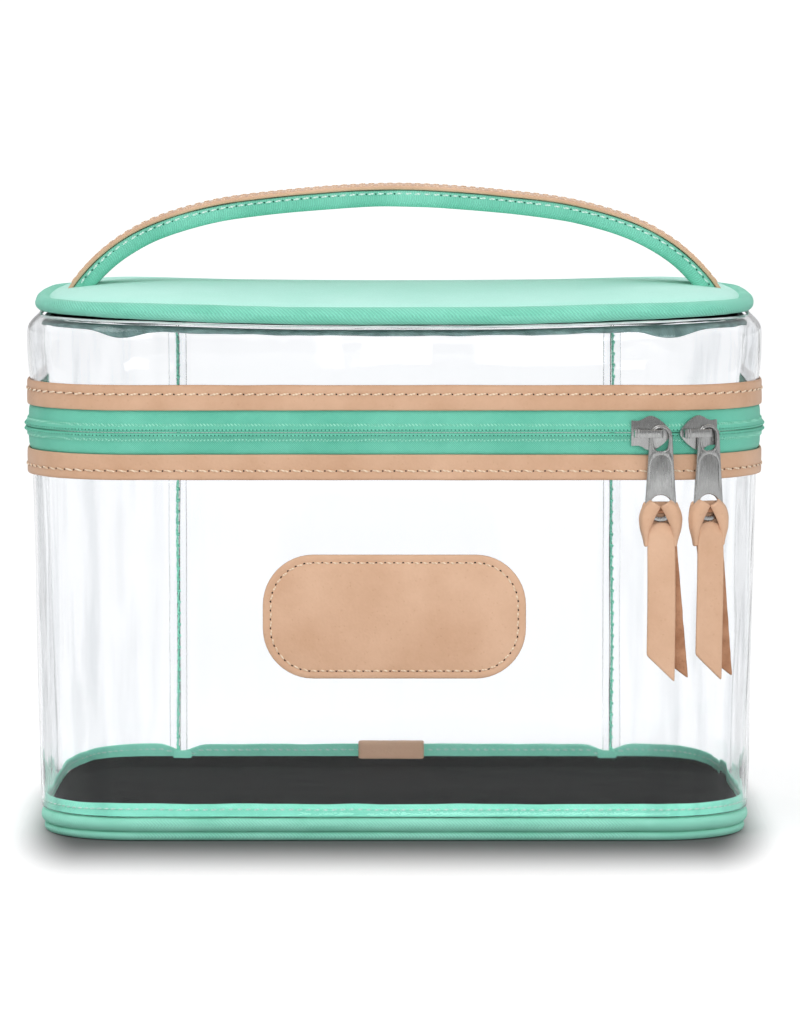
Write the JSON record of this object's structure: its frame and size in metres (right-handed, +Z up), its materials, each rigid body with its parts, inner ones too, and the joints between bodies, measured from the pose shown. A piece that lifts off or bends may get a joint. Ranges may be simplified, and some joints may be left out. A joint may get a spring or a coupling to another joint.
{
  "type": "clear makeup train case",
  "caption": "Soft upright travel case of clear vinyl with a canvas base and padded lid, a zip round three sides between leather strips, tasselled pulls and an arched strap.",
  "frame": {"origin": "middle of the underside of the base panel, on the surface that the case stands on", "axes": "+Z up, +X along the case's long side to the viewer's right, -Y out of the front where the zip pulls hang"},
  "size_m": [0.2852, 0.1716, 0.2489],
  "materials": {
    "clear_vinyl": "clear, glossy",
    "canvas": "fine twill, coated",
    "zip_tape": "woven tape",
    "zip_coil": "nylon coil",
    "leather": "natural vegetable tanned",
    "lining": "coated cloth, matte",
    "fibre_board": "plain",
    "nickel": "satin nickel plate"
  },
  "bodies": {
    "case": {"base_panel": "canvas", "base_piping": "canvas", "base_board": "fibre_board", "base_lining": "lining", "base_binding": "canvas", "binding_joint_tab": "leather", "lower_wall": "clear_vinyl", "back_panel_lower": "clear_vinyl", "left_seam_strip_lower": "clear_vinyl", "right_seam_strip_lower": "clear_vinyl", "front_patch": "leather", "lower_zip_tape": "zip_tape", "lower_zip_coil": "zip_coil", "lower_leather_strip": "leather"},
    "lid": {"upper_zip_tape": "zip_tape", "upper_zip_coil": "zip_coil", "upper_leather_strip": "leather", "upper_wall": "clear_vinyl", "back_panel_upper": "clear_vinyl", "left_seam_strip_upper": "clear_vinyl", "right_seam_strip_upper": "clear_vinyl", "lid_panel": "canvas", "lid_piping": "canvas", "lid_board": "fibre_board", "lid_lining": "lining", "lid_binding": "canvas", "left_strap_end": "canvas", "left_strap_end_leather": "leather", "right_strap_end": "canvas", "right_strap_end_leather": "leather"},
    "strap": {"strap_core": "canvas", "strap_leather": "leather"},
    "left_slider": {"left_slider": "nickel"},
    "right_slider": {"right_slider": "nickel"},
    "left_tab": {"left_pull_tab": "nickel"},
    "right_tab": {"right_pull_tab": "nickel"},
    "left_tassel": {"left_tassel": "leather"},
    "right_tassel": {"right_tassel": "leather"}
  },
  "joints": [
    {"name": "lid_hinge", "type": "hinge", "parent": "case", "child": "lid", "pos_m": [0, 0.0835, 0.1575], "axis": [-1, 0, 0], "range_deg": [0, 110]},
    {"name": "strap_lean", "type": "hinge", "parent": "lid", "child": "strap", "pos_m": [0, 0, 0.2094], "axis": [1, 0, 0], "range_deg": [-25, 25], "stiffness_Nm_per_rad": 0.5},
    {"name": "left_slider_travel", "type": "slide", "parent": "case", "child": "left_slider", "axis": [-1, 0, 0], "range_m": [0, 0.19]},
    {"name": "right_slider_travel", "type": "hinge", "parent": "case", "child": "right_slider", "pos_m": [0.101, -0.0415, 0.1575], "axis": [0, 0, 1], "range_deg": [0, 70]},
    {"name": "left_tab_swing", "type": "hinge", "parent": "left_slider", "child": "left_tab", "pos_m": [0.1011, -0.0861, 0.1575], "axis": [0, 1, 0], "range_deg": [0, 45]},
    {"name": "right_tab_swing", "type": "hinge", "parent": "right_slider", "child": "right_tab", "pos_m": [0.11933, -0.08232, 0.1575], "axis": [0.3349, -0.9423, 0], "range_deg": [0, 85]},
    {"name": "left_tassel_swing", "type": "hinge", "parent": "left_tab", "child": "left_tassel", "pos_m": [0.1011, -0.0861, 0.1299], "axis": [0, 1, 0], "range_deg": [0, 60]},
    {"name": "right_tassel_swing", "type": "hinge", "parent": "right_tab", "child": "right_tassel", "pos_m": [0.11933, -0.08232, 0.1299], "axis": [0.3349, -0.9423, 0], "range_deg": [0, 60]}
  ]
}
